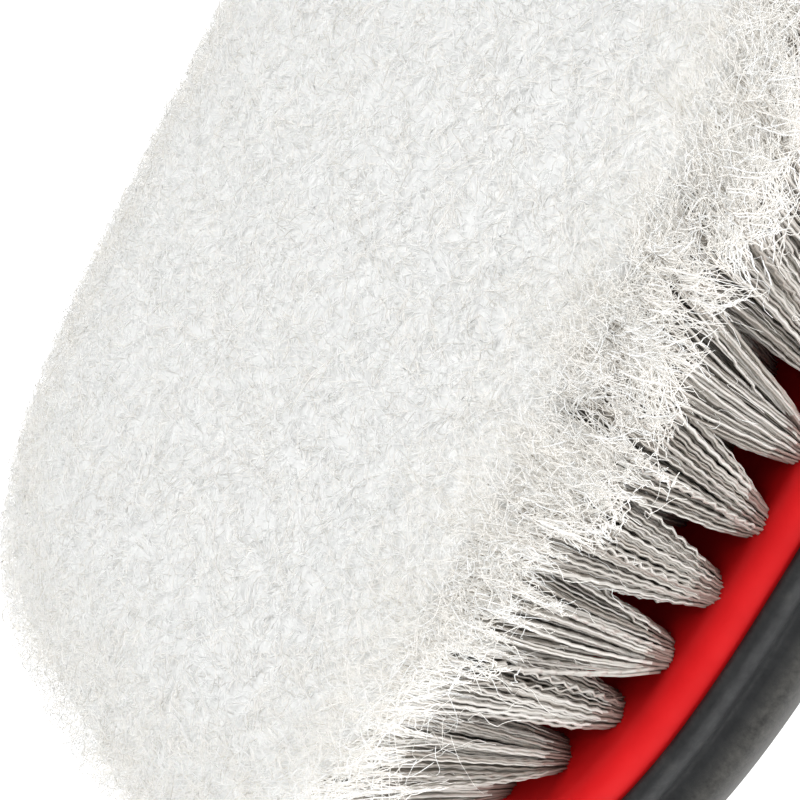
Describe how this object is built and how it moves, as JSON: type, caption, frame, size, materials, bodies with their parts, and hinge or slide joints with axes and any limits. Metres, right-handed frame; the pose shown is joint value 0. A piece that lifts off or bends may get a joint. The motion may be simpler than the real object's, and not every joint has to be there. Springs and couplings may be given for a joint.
{
  "type": "wheel brush",
  "caption": "Short-handled wheel brush: oval head of soft crimped bristles with split tips, rubber bumper round the block, rubber grip and a hanging hole.",
  "frame": {"origin": "middle of the head's back face, on the surface the brush rests on", "axes": "+X along the brush from the head to the handle's end, +Y across the head, +Z the way the bristles point"},
  "size_m": [0.244, 0.0734, 0.047],
  "materials": {
    "red_plastic": "satin moulded polypropylene",
    "black_rubber": "matte thermoplastic rubber",
    "bristle": "crimped grey filament with split white tips",
    "anchor_wire": "drawn flat wire"
  },
  "bodies": {
    "root": {"bristle_block": "red_plastic", "handle_frame": "red_plastic", "head_bumper": "black_rubber", "grip_sleeve": "black_rubber", "thumb_pad": "black_rubber", "tuft_row_1": "bristle", "tuft_row_2": "bristle", "tuft_row_3": "bristle", "tuft_row_4": "bristle", "tuft_row_5": "bristle", "tuft_row_6": "bristle", "tuft_row_7": "bristle", "tuft_row_8": "bristle", "anchor_row_1": "anchor_wire", "anchor_row_2": "anchor_wire", "anchor_row_3": "anchor_wire", "anchor_row_4": "anchor_wire", "anchor_row_5": "anchor_wire", "anchor_row_6": "anchor_wire", "anchor_row_7": "anchor_wire", "anchor_row_8": "anchor_wire"}
  },
  "joints": []
}
